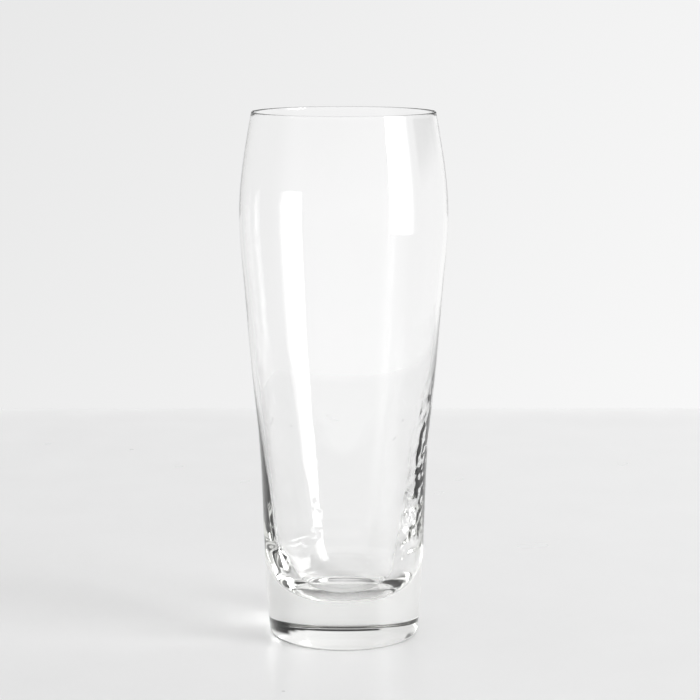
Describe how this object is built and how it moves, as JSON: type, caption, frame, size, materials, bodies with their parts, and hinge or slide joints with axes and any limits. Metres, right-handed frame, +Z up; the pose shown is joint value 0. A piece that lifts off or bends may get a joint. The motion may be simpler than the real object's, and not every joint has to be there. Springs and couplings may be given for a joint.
{
  "type": "beer tumbler",
  "caption": "Tall clear glass tumbler with a heavy solid base, a bowl that swells to a belly below the rim and a thin fire-polished lip, for holding and drinking beer.",
  "frame": {"origin": "centre of the standing ring, on the plane of the table under the glass", "axes": "+Z up along the glass's axis of revolution; X and Y are free, because the glass is round"},
  "size_m": [0.0746, 0.0746, 0.19],
  "materials": {
    "clear_glass": "clear colourless glass, fire-polished, with slight hand-worked ripples low in the bowl"
  },
  "bodies": {
    "root": {"base": "clear_glass", "bowl": "clear_glass", "lip": "clear_glass"}
  },
  "joints": []
}
